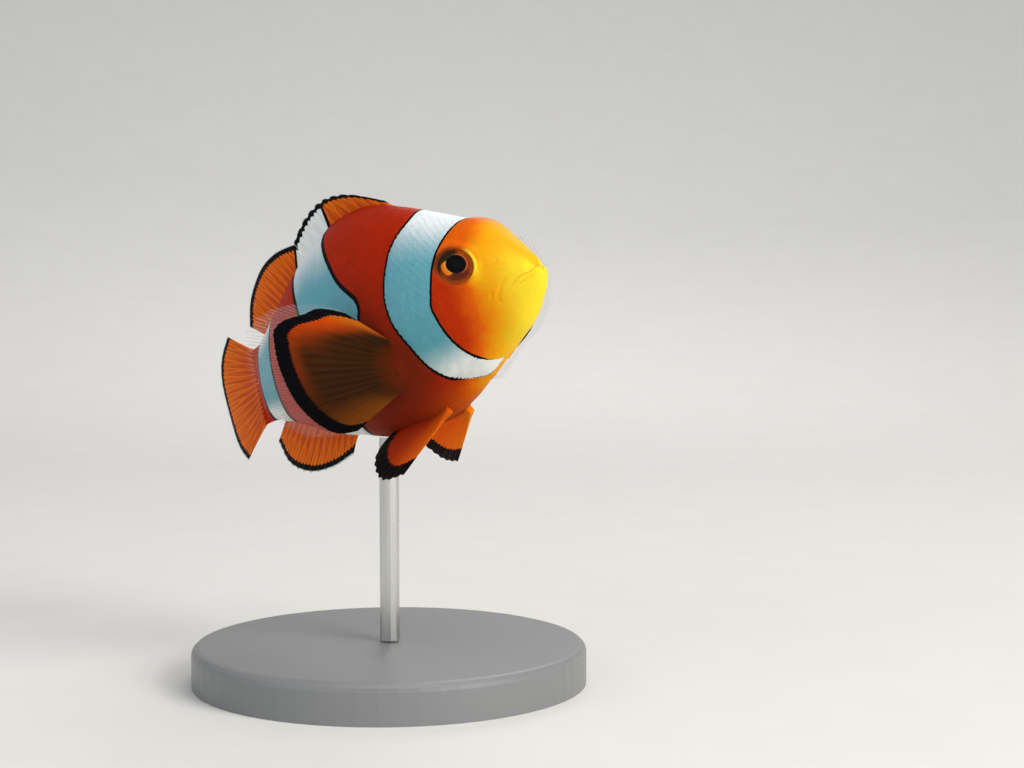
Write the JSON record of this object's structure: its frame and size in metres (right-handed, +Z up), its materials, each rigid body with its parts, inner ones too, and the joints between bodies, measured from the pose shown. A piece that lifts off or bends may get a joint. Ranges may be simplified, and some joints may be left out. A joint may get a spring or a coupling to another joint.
{
  "type": "clownfish",
  "caption": "Life-size still clownfish with spread fins, swimming nose-up, held over a round flat base by a thin rod.",
  "frame": {"origin": "centre of the underside of the stand's base, straight below the rod", "axes": "+X the way the fish faces, +Y its left, +Z up"},
  "size_m": [0.0865, 0.06, 0.0744],
  "materials": {
    "head_orange": "satin, finely scaled skin, golden at the snout and deep orange on the cheek",
    "band_white": "satin white band with thin black edges over the gill cover",
    "body_orange": "satin, scaled skin with white bands edged in black",
    "fin_orange": "satin rayed membrane with a black margin and a clear fringe",
    "eye": "wet gloss",
    "stand_plastic": "satin grey",
    "stand_steel": "brushed"
  },
  "bodies": {
    "root": {"head": "head_orange", "lower_jaw": "head_orange", "gill_cover_left": "band_white", "gill_cover_right": "band_white", "trunk": "body_orange", "tail_stalk": "body_orange", "caudal_fin": "fin_orange", "dorsal_fin_spiny": "fin_orange", "dorsal_fin_soft": "fin_orange", "anal_fin": "fin_orange", "pelvic_fin_left": "fin_orange", "pelvic_fin_right": "fin_orange", "pectoral_fin_left": "fin_orange", "pectoral_fin_right": "fin_orange", "eye_left": "eye", "eye_right": "eye", "stand_base": "stand_plastic", "stand_rod": "stand_steel"}
  },
  "joints": []
}
